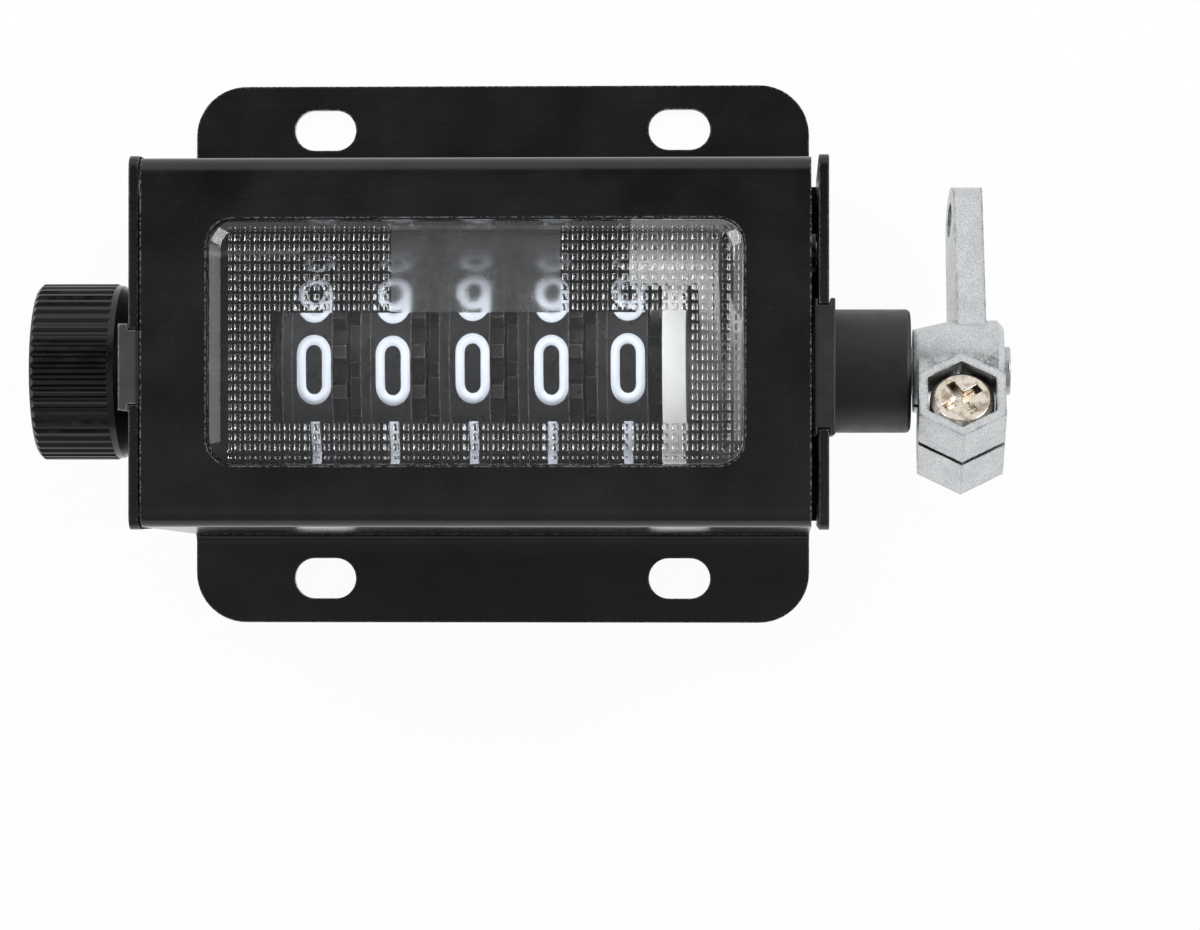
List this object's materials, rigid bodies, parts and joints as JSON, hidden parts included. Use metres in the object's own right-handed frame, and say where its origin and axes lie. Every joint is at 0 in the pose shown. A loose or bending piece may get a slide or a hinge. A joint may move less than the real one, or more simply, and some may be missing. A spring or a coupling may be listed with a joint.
{
  "type": "machine counter",
  "caption": "Flanged mechanical stroke counter with number wheels behind a textured window, a reset knob and a clamped lever.",
  "frame": {"origin": "centre of the four mounting slots, on the back face of the flanges", "axes": "+X along the shaft towards the lever, +Y across the flanges, upwards as the figures read, +Z out of the window"},
  "size_m": [0.0963, 0.056, 0.0443],
  "materials": {
    "cover_black": "gloss black stove enamel on steel sheet",
    "frame_black": "black enamel on steel sheet",
    "clear_plastic": "clear moulded acrylic, prismatic back",
    "grey_plastic": "dark grey moulded plastic",
    "bush_black": "black moulded plastic",
    "knob_black": "black moulded plastic, fine flutes",
    "wheel_black": "black moulded plastic",
    "white_plastic": "white moulded plastic",
    "steel": "ground steel",
    "spring_steel": "dark phosphated spring steel",
    "die_cast_zinc": "bare die-cast zinc",
    "screw_nickel": "worn nickel plate",
    "digit_white": "white printed figures"
  },
  "bodies": {
    "housing": {"cover": "cover_black", "lens": "clear_plastic", "frame": "frame_black", "left_bush": "grey_plastic", "right_bush": "bush_black", "pinion_shaft": "steel", "pinion_shaft_clips": "spring_steel", "detent_spring": "spring_steel", "return_spring": "spring_steel"},
    "reset": {"reset_knob": "knob_black", "reset_shaft": "steel", "reset_clip": "spring_steel", "spacer_sleeve": "wheel_black"},
    "lever_arm": {"lever": "die_cast_zinc", "lever_screw": "screw_nickel", "drive_shaft": "steel", "drive_clip": "spring_steel", "pawl_carrier": "white_plastic", "feed_pawl": "spring_steel"},
    "units": {"units_wheel": "wheel_black"},
    "tens": {"tens_wheel": "wheel_black"},
    "hundreds": {"hundreds_wheel": "wheel_black"},
    "thousands": {"thousands_wheel": "wheel_black"},
    "ten_thousands": {"ten_thousands_wheel": "wheel_black"},
    "tens_carry": {"tens_pinion": "white_plastic"},
    "hundreds_carry": {"hundreds_pinion": "white_plastic"},
    "thousands_carry": {"thousands_pinion": "white_plastic"},
    "ten_thousands_carry": {"ten_thousands_pinion": "white_plastic"}
  },
  "joints": [
    {"name": "lever_swing", "type": "hinge", "parent": "housing", "child": "lever_arm", "pos_m": [0.046, -0.00235, 0.024], "axis": [1, 0, 0], "range_deg": [0, 45], "stiffness_Nm_per_rad": 0.02, "springref_deg": -34.38, "deforming": ["return_spring"]},
    {"name": "knob_turn", "type": "hinge", "parent": "housing", "child": "reset", "pos_m": [-0.04, -0.00235, 0.024], "axis": [1, 0, 0], "continuous": true},
    {"name": "units_turn", "type": "hinge", "parent": "housing", "child": "units", "pos_m": [0.0137, -0.00235, 0.024], "axis": [1, 0, 0], "continuous": true},
    {"name": "tens_turn", "type": "hinge", "parent": "housing", "child": "tens", "pos_m": [0.00612, -0.00235, 0.024], "axis": [1, 0, 0], "continuous": true},
    {"name": "hundreds_turn", "type": "hinge", "parent": "housing", "child": "hundreds", "pos_m": [-0.00146, -0.00235, 0.024], "axis": [1, 0, 0], "continuous": true},
    {"name": "thousands_turn", "type": "hinge", "parent": "housing", "child": "thousands", "pos_m": [-0.00904, -0.00235, 0.024], "axis": [1, 0, 0], "continuous": true},
    {"name": "ten_thousands_turn", "type": "hinge", "parent": "housing", "child": "ten_thousands", "pos_m": [-0.01662, -0.00235, 0.024], "axis": [1, 0, 0], "continuous": true},
    {"name": "tens_carry_turn", "type": "hinge", "parent": "housing", "child": "tens_carry", "pos_m": [0.00991, 0.00969, 0.01557], "axis": [1, 0, 0], "continuous": true},
    {"name": "hundreds_carry_turn", "type": "hinge", "parent": "housing", "child": "hundreds_carry", "pos_m": [0.00233, 0.00969, 0.01557], "axis": [1, 0, 0], "continuous": true},
    {"name": "thousands_carry_turn", "type": "hinge", "parent": "housing", "child": "thousands_carry", "pos_m": [-0.00525, 0.00969, 0.01557], "axis": [1, 0, 0], "continuous": true},
    {"name": "ten_thousands_carry_turn", "type": "hinge", "parent": "housing", "child": "ten_thousands_carry", "pos_m": [-0.01283, 0.00969, 0.01557], "axis": [1, 0, 0], "continuous": true}
  ],
  "couplings": [
    {"joint": "tens_carry_turn", "follows": "tens_turn", "ratio": -2.5},
    {"joint": "hundreds_carry_turn", "follows": "hundreds_turn", "ratio": -2.5},
    {"joint": "thousands_carry_turn", "follows": "thousands_turn", "ratio": -2.5},
    {"joint": "ten_thousands_carry_turn", "follows": "ten_thousands_turn", "ratio": -2.5}
  ]
}
